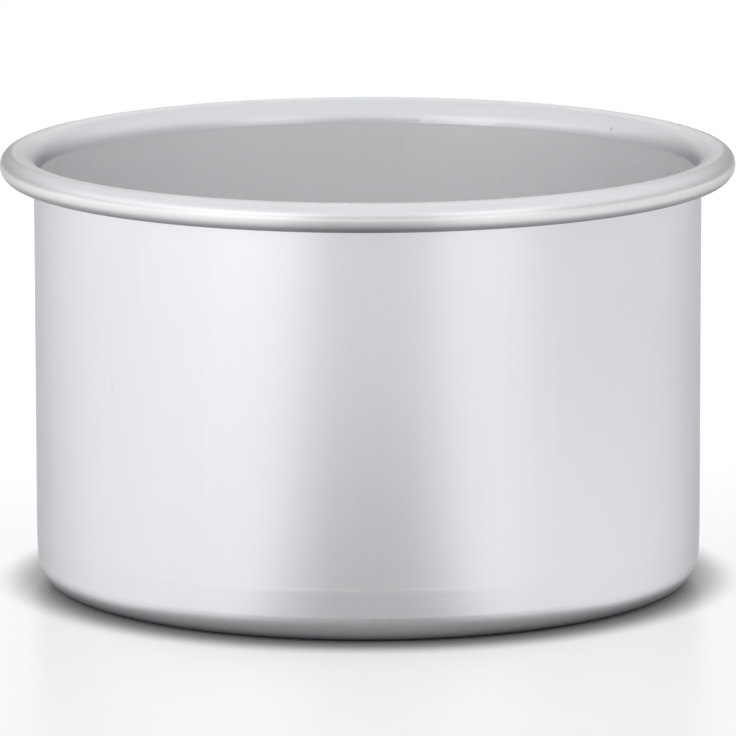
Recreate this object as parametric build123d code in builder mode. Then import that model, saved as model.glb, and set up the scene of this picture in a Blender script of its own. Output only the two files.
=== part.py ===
from build123d import *

import os
from math import acos, atan2, cos, degrees, sin, sqrt, tan

# Deep round cake tin of satin anodised aluminium with a loose push-up base, in millimetres.
# The shell is one drawn sheet: a straight wall with a rolled rim at the top, a rounded corner at
# the bottom and a ledge turned inwards round a large opening. The base is a flat disc that drops
# in from above, lies in the curve of the shell's corner and is pushed up with the cake on it.
# Both pieces are round about Z. The origin is where the tin's axis meets the table.

# Overall sizes of the shell
inner_diameter = 152.4
overall_height = 101.0
sheet = 1.0

# Rolled rim: the sheet flares out over a quarter circle and curls back under itself
bead_radius = 3.35
neck_gap = 1.1
curl_turn = 255.0

# Bottom corner and ledge
inner_corner_radius = 5.2
ledge_flat = 6.6

# Low band above the corner, where the wall draws in by a hair, with a soft line at its top
band_height = 5.6
band_step = 0.2
band_blend = 2.0

# Loose base
base_thickness = 1.5
base_play = 0.45
seat_gap = 0.15

# Cut edges are deburred: their roundings stay under half of the sheet that carries them
shell_edge_round = 0.3
base_edge_round = 0.4
edge_limit_share = 0.45

# Places that follow from the sizes, on the inner face of the shell
inner_radius = inner_diameter / 2
band_radius = inner_radius - band_step
corner_centre_radius = band_radius - inner_corner_radius
opening_radius = corner_centre_radius - ledge_flat
corner_top = sheet + inner_corner_radius
flare_radius = neck_gap + bead_radius + sheet
rim_centre_radius = inner_radius + flare_radius
flare_height = overall_height - flare_radius
bead_height = overall_height - bead_radius

# Shell: the middle line of the sheet, from the ledge up to the end of the curl, is given the
# sheet's thickness and turned about the axis
half_sheet = sheet / 2

# The low band leans out from the corner's curve by band_lean and meets the wall at band_top
corner_radius = inner_corner_radius + half_sheet
band_top = corner_top + band_height
reach = sqrt((corner_radius + band_step) ** 2 + band_height**2)
lean = acos(corner_radius / reach) - atan2(band_height, corner_radius + band_step)
band_lean = degrees(lean)
blend_radius = band_blend / 2 / tan(lean / 2)
blend_start = (
    inner_radius + half_sheet - band_blend / 2 * sin(lean),
    band_top - band_blend / 2 * cos(lean),
)

with BuildPart() as tin_shell:
    with BuildSketch(Plane.XZ) as shell_section:
        with BuildLine():
            ledge = Line((opening_radius, half_sheet), (corner_centre_radius, half_sheet))
            corner = CenterArc(
                (corner_centre_radius, corner_top), corner_radius, -90, 90 - band_lean
            )
            band = Line(corner @ 1, blend_start)
            blend = JernArc(band @ 1, band % 1, blend_radius, band_lean)
            Line(blend @ 1, (inner_radius + half_sheet, flare_height))
            CenterArc((rim_centre_radius, flare_height), flare_radius - half_sheet, 180, -90)
            curl = CenterArc(
                (rim_centre_radius, bead_height), bead_radius - half_sheet, 90, -curl_turn
            )
        trace(line_width=sheet)
        # The corners nearest each end of the middle line belong to the sheet's cut ends
        corners = shell_section.vertices()
        cut_corners = corners.sort_by_distance(ledge @ 0)[:2] + corners.sort_by_distance(curl @ 1)[:2]
        fillet(cut_corners, min(shell_edge_round, sheet * edge_limit_share))
    revolve(axis=Axis.Z)

# Base: its rounded lower edge lies seat_gap off the corner's curve, or, where the corner is too
# tight to carry it, its flat underside lies seat_gap off the ledge
base_radius = band_radius - seat_gap - base_play
base_round = min(base_edge_round, base_thickness * edge_limit_share)
edge_reach = max(base_radius - base_round - corner_centre_radius, 0)
edge_room = max(inner_corner_radius - base_round - seat_gap, edge_reach)
base_bottom = max(corner_top - base_round - sqrt(edge_room**2 - edge_reach**2), sheet + seat_gap)

with BuildPart() as loose_base:
    with BuildSketch(Plane.XY.offset(base_bottom)):
        Circle(base_radius)
    extrude(amount=base_thickness)
    fillet(loose_base.edges(), base_round)

tin_shell.part.label = "tin_shell"
loose_base.part.label = "loose_base"

os.makedirs("parts", exist_ok=True)
export_step(tin_shell.part, "parts/tin_shell.step")
export_step(loose_base.part, "parts/loose_base.step")

print("underside of the base", round(base_bottom, 3), "mm, top", round(base_bottom + base_thickness, 3))
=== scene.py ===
from math import cos, pi, radians, sin
from types import SimpleNamespace

import bpy
from mathutils import Matrix, Vector

# A round cake tin of satin anodised aluminium with a loose base, on a pale floor. Both CAD pieces
# keep their shapes. Their materials are worked out from places in the object's own metres.

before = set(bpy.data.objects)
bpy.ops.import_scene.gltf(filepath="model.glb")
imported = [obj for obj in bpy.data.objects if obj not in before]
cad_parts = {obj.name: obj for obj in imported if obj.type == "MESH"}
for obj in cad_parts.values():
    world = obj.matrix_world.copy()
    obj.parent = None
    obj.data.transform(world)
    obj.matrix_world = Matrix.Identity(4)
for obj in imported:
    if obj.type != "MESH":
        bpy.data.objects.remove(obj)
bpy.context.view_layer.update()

# Places on the shell: the centre of the bottom corner's curve and the distance from it to the
# middle of the sheet, the opening in the ledge, the faint line low on the wall, where the rolled
# rim starts, its crest, its widest ring and the wall's outer face. Heights are from the tin's foot
# and radii from its axis.
corner_radius = 0.0708
corner_height = 0.0062
sheet_middle = 0.0057
opening_radius = 0.0642
low_line = 0.0121
rim_start = 0.0956
rim_crest = 0.101
rim_outer = 0.085
wall_outer = 0.0772

# Parts of the shell that differ: where each begins to show and where it shows in full
rim_heights = (rim_start - 0.001, rim_start + 0.001)
# The crest and the widest ring carry burnish and a painted highlight
crest_heights = (rim_crest - 0.0008, rim_crest - 0.0001)
widest_radii = (rim_outer - 0.0006, rim_outer - 0.0001)
# The flare is painted a little darker and bluer, as shade
flare_shade_radii = (wall_outer + 0.0045, wall_outer + 0.003)
# The band under the curl is painted dark, as the shade in the gap between the curl and the wall
curl_shade_radii = (wall_outer + 0.0008, wall_outer + 0.0016)
curl_shade_heights = (0.0971, 0.0951)
line_top = (low_line + 0.001, low_line)
line_bottom = (low_line - 0.0018, low_line - 0.0002)
corner_heights = (corner_height + 0.002, corner_height - 0.002)
foot_heights = (0.0003, 0.0001)
cut_edge_radii = (opening_radius + 0.0005, opening_radius + 0.0002)
inner_heights = (rim_start + 0.0002, rim_start - 0.0002)
inner_depths = (sheet_middle + 0.0002, sheet_middle - 0.0002)

# Parts of the base, in the same way: its top, the ring that the shell's corner rubs, and its edge
base_top_heights = (0.0048, 0.0052)
base_rub_radii = (0.0715, 0.0735)
base_edge_radii = (0.0748, 0.0752)

# Marks that the photograph shows: two tiny bumps on the wall and a dark speck on the rim's flare
bumps = [(-0.05765, -0.05134, 0.0553), (-0.05765, -0.05134, 0.0536)]
bump_size = 0.0007
speck = (0.0579, 0.0503, 0.0978)
speck_size = 0.0006

# Guessed marks: pits on the wall, scuffs at a slant on the foot, and knife cuts on the base, each
# row with an angle and the cells in a metre. The widest ring gets less of the burnish and painted
# highlight than the crest, by this share.
pit_size = 0.0002
pit_cells = 110
pit_share = 0.12
knife_cuts = ((23, 420), (64, 500), (-38, 460), (112, 540))
scuff_slant = 35
widest_share = 0.45

# Round marks are at their full depth over this share of their size. Rings round the tin drift up
# and down by this much.
spot_core = 0.4
ring_drift = 0.0006

# Satin: the inside is rougher than the outside, and a low edge gloss darkens the metal where it is
# seen at a slant
outer_roughness = 0.33
inner_roughness = 0.56
base_roughness = 0.36
edge_gloss = 0.55

# Colours of the metal, from dull to bright
outer_colours = (0.848, 0.863, 0.891, 1), (0.88, 0.895, 0.923, 1)
# The inside is painted lighter and less blue than the outside, as light
inner_painted_light_colours = (0.893, 0.902, 0.914, 1), (0.918, 0.927, 0.939, 1)
base_colours = (0.84, 0.85, 0.865, 1), (0.9, 0.91, 0.925, 1)

# Tints: the colour that a part or mark turns towards, and how far
# Painted shade on the flare
flare_painted_shade_tint = (0.8, 0.815, 0.84, 1), 0.8
# Painted shade under the curl
curl_painted_shade_tint = (0.42, 0.425, 0.44, 1), 0.85
# Burnish, partly a painted highlight
burnished_highlight_tint = (0.97, 0.975, 0.98, 1), 0.8
scuffed_tint = (0.62, 0.62, 0.63, 1), 0.5
rubbed_tint = (0.8, 0.805, 0.81, 1), 0.12
cut_edge_tint = (0.94, 0.94, 0.94, 1), 0.6
pit_tint = (0.45, 0.44, 0.43, 1), 0.25
speck_tint = (0.2, 0.19, 0.18, 1), 0.35
knife_tint = (0.95, 0.95, 0.95, 1), 0.22
base_rub_tint = (0.76, 0.765, 0.77, 1), 0.25
base_edge_tint = (0.93, 0.93, 0.935, 1), 0.6

# Camera: it looks along +Y and down, from as far away as the photograph was taken
camera_distance = 1.8327
camera_height = 0.3784
camera_pitch = 0.1777
camera_roll = -0.002
lens_pixels = 8012
picture_pixels = 736
sensor_width = 36
nearest_seen = 0.05
farthest_seen = 20

# Studio: each lamp is a soft panel that faces the tin, with its name, its azimuth and its glow.
# Azimuth 0 is the camera's side, azimuth 90 is +X, and a glow of 1 is white. The world's glow rises
# towards the ceiling's between two heights of the direction.
aim = Vector((0, 0, 0.05))
lamp_elevation = 15
lamp_reach = 0.5
lamp_width = 0.27
lamp_height = 0.34
lamps = [
    ("left_front", -33, 0.43),
    ("left_middle", -60, 0.3),
    ("left_side", -90, 0.19),
    ("right_front", 37, 0.34),
    ("behind", 180, 0.38),
]
world_glow = 0.57
ceiling_glow = 0.85
ceiling_rise = (0.1, 0.5)
white = (1, 1, 1, 1)

# Floor: satin white paper, a hair below the tin's foot, so that the two faces don't coincide
floor_reach = 6
floor_drop = 0.0001
floor_grey = 0.35
floor_roughness = 0.35

# Glow of the floor: the camera sees it a little brighter behind the tin, with a painted shadow
# round the foot. What the metal mirrors is dimmer in front of the tin and on its right, a painted
# shade that the camera doesn't see. Reaches are in metres: from the axis in front, along Y at the
# back, along X on the right, and along Y where the right ends. A turn is the Y of the direction
# from the axis.
front_glow = 0.13
far_glow = 0.45
side_glow = 0.52
back_glow = 0.62
right_glow = 0.45
front_reach = (0.2, 0.5)
front_turn = (-0.998, -0.87)
back_reach = (0.0, 0.4)
right_reach = (0.15, 0.35)
right_end = (0.25, 0.45)
shade_start = 0.076
shade_end = 0.088
shade_front = 0.096
shade_side = 0.083
shade_turn = (-0.998, -0.6)


# Camera and studio


def make_camera():
    data = bpy.data.cameras.new("camera")
    data.sensor_width = sensor_width
    data.lens = lens_pixels / picture_pixels * sensor_width
    data.clip_start = nearest_seen
    data.clip_end = farthest_seen
    camera = bpy.data.objects.new("camera", data)
    tilt = Matrix.Rotation(pi / 2 - camera_pitch, 4, "X") @ Matrix.Rotation(camera_roll, 4, "Z")
    camera.matrix_world = Matrix.Translation((0, -camera_distance, camera_height)) @ tilt
    bpy.context.scene.collection.objects.link(camera)
    bpy.context.scene.camera = camera


def make_lamp(name, azimuth, glow):
    data = bpy.data.lights.new(name, "AREA")
    data.shape = "RECTANGLE"
    data.size = lamp_width
    data.size_y = lamp_height
    data.energy = pi * lamp_width * lamp_height * glow
    lamp = bpy.data.objects.new(name, data)
    turn, rise = radians(azimuth), radians(lamp_elevation)
    away = Vector((sin(turn) * cos(rise), -cos(turn) * cos(rise), sin(rise)))
    lamp.location = aim + lamp_reach * away
    lamp.rotation_euler = (-away).to_track_quat("-Z", "Y").to_euler()
    lamp.visible_camera = False
    bpy.context.scene.collection.objects.link(lamp)


def make_world():
    world = bpy.data.worlds.new("studio")
    world.use_nodes = True
    tree = world.node_tree
    background = tree.nodes["Background"]
    background.inputs["Color"].default_value = white
    direction = split(tree, tree.nodes.new("ShaderNodeTexCoord").outputs["Generated"])
    glow = fade(tree, direction["Z"], *ceiling_rise, world_glow, ceiling_glow)
    tree.links.new(glow, background.inputs["Strength"])
    bpy.context.scene.world = world


def make_floor():
    mesh = bpy.data.meshes.new("floor")
    signs = ((-1, -1), (1, -1), (1, 1), (-1, 1))
    corners = [(x * floor_reach, y * floor_reach, -floor_drop) for x, y in signs]
    mesh.from_pydata(corners, [], [(0, 1, 2, 3)])
    mesh.materials.append(floor_material())
    floor = bpy.data.objects.new("floor", mesh)
    bpy.context.scene.collection.objects.link(floor)


# Small helpers for node trees. A value is a number, a tuple or another node's output.


def new_material(name):
    material = bpy.data.materials.new(name)
    material.use_nodes = True
    return material, material.node_tree, material.node_tree.nodes["Principled BSDF"]


def grey(value):
    return (value, value, value, 1)


def plug(tree, socket, value):
    if isinstance(value, bpy.types.NodeSocket):
        tree.links.new(value, socket)
    else:
        socket.default_value = value


def maths(tree, operation, *values):
    node = tree.nodes.new("ShaderNodeMath")
    node.operation = operation
    for socket, value in zip(node.inputs, values):
        plug(tree, socket, value)
    return node.outputs["Value"]


def times(tree, value, amount):
    return maths(tree, "MULTIPLY", value, amount)


def total(tree, *values):
    result = values[0]
    for value in values[1:]:
        result = maths(tree, "ADD", result, value)
    return result


def weighted(tree, *rows):
    """Each row's value times the row's weight"""
    return [times(tree, value, weight) for value, weight in rows]


def vector(tree, operation, *values):
    node = tree.nodes.new("ShaderNodeVectorMath")
    node.operation = operation
    for socket, value in zip(node.inputs, values):
        plug(tree, socket, value)
    return node.outputs["Value" if operation == "LENGTH" else "Vector"]


def split(tree, value):
    """The X, Y and Z of a vector"""
    node = tree.nodes.new("ShaderNodeSeparateXYZ")
    tree.links.new(value, node.inputs[0])
    return node.outputs


def joined(tree, **values):
    """A vector with the named X, Y or Z, and 0 for the others"""
    node = tree.nodes.new("ShaderNodeCombineXYZ")
    for name, value in values.items():
        tree.links.new(value, node.inputs[name])
    return node.outputs[0]


def fade(tree, value, start, end, low=0.0, high=1.0):
    """Low up to start, high from end, and a smooth change between. Start may be above end."""
    node = tree.nodes.new("ShaderNodeMapRange")
    node.interpolation_type = "SMOOTHSTEP"
    names = ("Value", "From Min", "From Max", "To Min", "To Max")
    for name, number in zip(names, (value, start, end, low, high)):
        plug(tree, node.inputs[name], number)
    return node.outputs["Result"]


def mix_colours(tree, share, first, second):
    """Of the Mix node's sockets, 0 takes the share, 6 and 7 take colours, and 2 gives the mix"""
    node = tree.nodes.new("ShaderNodeMix")
    node.data_type = "RGBA"
    for number, value in ((0, share), (6, first), (7, second)):
        plug(tree, node.inputs[number], value)
    return node.outputs[2]


def tinted(tree, colour, *marks):
    """The colour turned towards each mark's tint in turn, where the mark's mask is above 0"""
    for mask, (tint, share) in marks:
        colour = mix_colours(tree, times(tree, mask, share), colour, tint)
    return colour


def noise(tree, place, cells, stretch=(1, 1, 1), detail=0.0, turn_with=None):
    """Noise round 0, with so many cells in a metre, drawn out along an axis by a small stretch"""
    node = tree.nodes.new("ShaderNodeTexNoise")
    if turn_with is not None:
        node.noise_dimensions = "4D"
        plug(tree, node.inputs["W"], turn_with)
    plug(tree, node.inputs["Vector"], vector(tree, "MULTIPLY", place, stretch))
    node.inputs["Scale"].default_value = cells
    node.inputs["Detail"].default_value = detail
    return maths(tree, "SUBTRACT", node.outputs["Fac"], 0.5)


def pits(tree, place, cells, size, share):
    """1 in small round pits of so many metres, in a share of the cells"""
    node = tree.nodes.new("ShaderNodeTexVoronoi")
    plug(tree, node.inputs["Vector"], place)
    node.inputs["Scale"].default_value = cells
    pit = fade(tree, node.outputs["Distance"], size * cells, spot_core * size * cells)
    chosen = tree.nodes.new("ShaderNodeSeparateColor")
    tree.links.new(node.outputs["Color"], chosen.inputs[0])
    return times(tree, pit, maths(tree, "LESS_THAN", chosen.outputs[0], share))


def spot(tree, place, centre, size):
    """1 within a round spot, 0 outside"""
    distance = vector(tree, "LENGTH", vector(tree, "SUBTRACT", place, centre))
    return fade(tree, distance, size, spot_core * size)


def turned(tree, place, angle):
    """The place turned about Z, for marks that run aslant"""
    node = tree.nodes.new("ShaderNodeVectorRotate")
    node.rotation_type = "Z_AXIS"
    plug(tree, node.inputs["Vector"], place)
    node.inputs["Angle"].default_value = radians(angle)
    return node.outputs["Vector"]


def knife_lines(tree, place, angle, cells):
    """Fine straight cuts that run at an angle to X"""
    lines = noise(tree, turned(tree, place, angle), cells, stretch=(0.02, 1, 0))
    return fade(tree, lines, 0.2, 0.24)


def object_place(tree):
    """The point, its x, y and height, its distance from the axis and its direction from the axis"""
    point = tree.nodes.new("ShaderNodeTexCoord").outputs["Object"]
    axes = split(tree, point)
    flat = vector(tree, "MULTIPLY", point, (1, 1, 0))
    return SimpleNamespace(
        point=point,
        x=axes["X"],
        y=axes["Y"],
        height=axes["Z"],
        radius=vector(tree, "LENGTH", flat),
        heading=vector(tree, "NORMALIZE", flat),
    )


def finish_metal(tree, shader, colour, roughness, skin):
    """Bare metal, with the height of its skin in metres as a bump"""
    shader.inputs["Metallic"].default_value = 1.0
    shader.inputs["Specular Tint"].default_value = grey(edge_gloss)
    tree.links.new(colour, shader.inputs["Base Color"])
    tree.links.new(roughness, shader.inputs["Roughness"])
    bump = tree.nodes.new("ShaderNodeBump")
    bump.inputs["Distance"].default_value = 1.0
    tree.links.new(skin, bump.inputs["Height"])
    tree.links.new(bump.outputs["Normal"], shader.inputs["Normal"])


# Floor


def seen_glow(tree, at):
    """What the camera sees of the floor's glow, with a painted shadow round the foot"""
    around = fade(tree, at.y, *back_reach, side_glow, back_glow)
    return times(tree, around, fade(tree, at.radius, shade_start, shade_end))


def mirrored_glow(tree, at):
    """What the metal mirrors of the floor's glow: painted shade in front and on the right, and a
    painted shadow round the foot
    """
    turn = split(tree, at.heading)["Y"]
    around = fade(tree, at.y, *back_reach, side_glow, back_glow)
    front = fade(tree, at.radius, *front_reach, front_glow, far_glow)
    right = fade(tree, at.y, *right_end, right_glow, back_glow)
    around = fade(tree, at.x, *right_reach, around, right)
    side = fade(tree, turn, *front_turn, front, around)
    end = fade(tree, turn, *shade_turn, shade_front, shade_side)
    return times(tree, side, fade(tree, at.radius, shade_start, end))


def floor_material():
    """The glow is there for the camera and the metal, and diffuse light takes none from it"""
    material, tree, shader = new_material("floor_white")
    shader.inputs["Base Color"].default_value = grey(floor_grey)
    shader.inputs["Roughness"].default_value = floor_roughness
    shader.inputs["Emission Color"].default_value = white
    at = object_place(tree)
    rays = tree.nodes.new("ShaderNodeLightPath").outputs
    by_metal = maths(tree, "MAXIMUM", rays["Is Glossy Ray"], rays["Is Transmission Ray"])
    seen = times(tree, seen_glow(tree, at), rays["Is Camera Ray"])
    mirrored = times(tree, mirrored_glow(tree, at), by_metal)
    tree.links.new(total(tree, seen, mirrored), shader.inputs["Emission Strength"])
    return material


# Shell


def inner_side(tree, at):
    """1 on the shell's inner face and 0 on its outer face, the rolled rim included"""
    out = maths(tree, "MAXIMUM", maths(tree, "SUBTRACT", at.radius, corner_radius), 0.0)
    down = maths(tree, "MINIMUM", maths(tree, "SUBTRACT", at.height, corner_height), 0.0)
    depth = vector(tree, "LENGTH", joined(tree, X=out, Y=down))
    below_rim = fade(tree, at.height, *inner_heights)
    return times(tree, below_rim, fade(tree, depth, *inner_depths))


def shell_parts(tree, at):
    """Masks of the shell's parts that differ, among them what was drawn and what was spun, and
    painted shade on the flare and under the curl
    """
    rim = fade(tree, at.height, *rim_heights)
    corner = fade(tree, at.height, *corner_heights)
    curl = fade(tree, at.height, *curl_shade_heights)
    line = fade(tree, at.height, *line_top)
    spun = maths(tree, "MAXIMUM", rim, corner)
    return SimpleNamespace(
        inside=inner_side(tree, at),
        crest=fade(tree, at.height, *crest_heights),
        widest=fade(tree, at.radius, *widest_radii),
        flare=times(tree, rim, fade(tree, at.radius, *flare_shade_radii)),
        under_curl_painted_shade=times(tree, curl, fade(tree, at.radius, *curl_shade_radii)),
        line=times(tree, line, fade(tree, at.height, *line_bottom)),
        foot=fade(tree, at.height, *foot_heights),
        cut_edge=fade(tree, at.radius, *cut_edge_radii),
        spun=spun,
        drawn=maths(tree, "SUBTRACT", 1.0, spun),
    )


def shell_texture(tree, at, part):
    """Slow clouds in the finish, draw lines up the wall, rings on the rim and corner, fine grain"""
    drift = vector(tree, "MULTIPLY", at.heading, (ring_drift, ring_drift, 0))
    ring_place = vector(tree, "ADD", drift, joined(tree, Z=at.height))
    streaks = noise(tree, at.point, cells=700, stretch=(1, 1, 0.02), detail=1)
    rings = noise(tree, ring_place, cells=2600, detail=1, turn_with=at.radius)
    return SimpleNamespace(
        clouds=noise(tree, at.point, cells=26, detail=2),
        patches=noise(tree, at.point, cells=140, detail=3),
        streaks=times(tree, streaks, part.drawn),
        rings=times(tree, rings, part.spun),
        grain=noise(tree, at.point, cells=2800, detail=2),
        waves=noise(tree, at.point, cells=20, stretch=(1, 1, 0.7)),
    )


def shell_wear(tree, at, part, patches):
    """Masks of the marks: the crest and the widest ring carry burnish and a painted highlight, the
    foot is scuffed, and the base has rubbed fine upright lines inside"""
    burnish_and_highlight_bands = maths(tree, "MAXIMUM", part.crest, times(tree, part.widest, widest_share))
    slanting = turned(tree, at.point, scuff_slant)
    scuffs = noise(tree, slanting, cells=1100, stretch=(1, 0.08, 1), detail=3)
    rubs = noise(tree, at.point, cells=1500, stretch=(1, 1, 0.012), detail=2)
    all_pits = pits(tree, at.point, pit_cells, pit_size, pit_share)
    return SimpleNamespace(
        burnish_and_highlight=times(tree, burnish_and_highlight_bands, fade(tree, patches, -0.5, 0.05)),
        scuffed=times(tree, part.foot, fade(tree, total(tree, scuffs, patches), 0, 0.2)),
        rubbed=times(tree, fade(tree, rubs, 0.08, 0.2), times(tree, part.inside, part.drawn)),
        pitted=times(tree, all_pits, part.drawn),
        bumped=total(tree, *[spot(tree, at.point, centre, bump_size) for centre in bumps]),
        specked=spot(tree, at.point, speck, speck_size),
    )


def shell_colour(tree, part, skin, wear):
    mottle = total(tree, skin.clouds, *weighted(tree, (skin.streaks, 0.4), (skin.patches, 0.25)))
    share = fade(tree, mottle, -0.4, 0.4)
    outer = mix_colours(tree, share, *outer_colours)
    # The inside is painted lighter, as light
    inner = mix_colours(tree, share, *inner_painted_light_colours)
    return tinted(
        tree,
        mix_colours(tree, part.inside, outer, inner),
        # The flare is painted a little darker, as shade
        (part.flare, flare_painted_shade_tint),
        # The band under the curl is painted dark, as shade
        (part.under_curl_painted_shade, curl_painted_shade_tint),
        # The crest and the widest ring: burnish, partly a painted highlight
        (wear.burnish_and_highlight, burnished_highlight_tint),
        (wear.scuffed, scuffed_tint),
        (wear.rubbed, rubbed_tint),
        (part.cut_edge, cut_edge_tint),
        (wear.pitted, pit_tint),
        (wear.specked, speck_tint),
    )


def shell_material():
    material, tree, shader = new_material("satin_shell")
    at = object_place(tree)
    part = shell_parts(tree, at)
    skin = shell_texture(tree, at, part)
    wear = shell_wear(tree, at, part, skin.patches)

    roughness = weighted(
        tree,
        (skin.clouds, 0.07),
        (skin.patches, 0.03),
        (skin.streaks, 0.05),
        (skin.rings, 0.06),
        (wear.burnish_and_highlight, -0.05),
        (part.under_curl_painted_shade, 0.08),
        (wear.scuffed, 0.12),
        (part.cut_edge, -0.08),
    )
    metres_high = weighted(
        tree,
        (skin.grain, 2.0e-6),
        (skin.waves, 1.2e-4),
        (skin.streaks, 2.0e-6),
        (skin.rings, 2.5e-6),
        (part.line, 2.6e-5),
        (wear.rubbed, -0.6e-6),
        (wear.pitted, -8.0e-6),
        (wear.bumped, 8.0e-5),
    )
    plain = fade(tree, part.inside, 0.0, 1.0, outer_roughness, inner_roughness)
    finish_metal(
        tree,
        shader,
        shell_colour(tree, part, skin, wear),
        total(tree, plain, *roughness),
        total(tree, *metres_high),
    )
    return material


# Base


def base_material():
    """Rolled sheet: its grain runs along X, with light knife marks on top and a deburred edge"""
    material, tree, shader = new_material("satin_base")
    at = object_place(tree)
    edge = fade(tree, at.radius, *base_edge_radii)
    flat_part = maths(tree, "SUBTRACT", 1.0, edge)
    rubbed = times(tree, fade(tree, at.radius, *base_rub_radii), flat_part)

    clouds = noise(tree, at.point, cells=24, detail=3)
    patches = noise(tree, at.point, cells=160, detail=3)
    rolling = noise(tree, at.point, cells=1400, stretch=(0.012, 1, 1), detail=2)
    grain = noise(tree, at.point, cells=2600, detail=2)
    cuts = total(tree, *[knife_lines(tree, at.point, *row) for row in knife_cuts])
    worn = times(tree, fade(tree, patches, -0.05, 0.1), fade(tree, at.height, *base_top_heights))
    cuts = times(tree, cuts, worn)

    share = fade(tree, total(tree, clouds, rolling), -0.3, 0.3)
    colour = tinted(
        tree,
        mix_colours(tree, share, *base_colours),
        (cuts, knife_tint),
        (rubbed, base_rub_tint),
        (edge, base_edge_tint),
    )
    roughness = weighted(
        tree, (clouds, 0.16), (rolling, 0.16), (cuts, -0.1), (rubbed, 0.06), (edge, -0.1)
    )
    metres_high = weighted(
        tree, (grain, 1.5e-6), (rolling, 5.0e-6), (cuts, -4.0e-6), (clouds, 4.0e-5)
    )
    finish_metal(
        tree,
        shader,
        colour,
        total(tree, base_roughness, *roughness),
        total(tree, *metres_high),
    )
    return material


make_camera()
make_floor()
make_world()
for lamp in lamps:
    make_lamp(*lamp)
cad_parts["tin_shell"].material_slots[0].material = shell_material()
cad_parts["loose_base"].material_slots[0].material = base_material()
bpy.context.scene.view_settings.view_transform = "Standard"
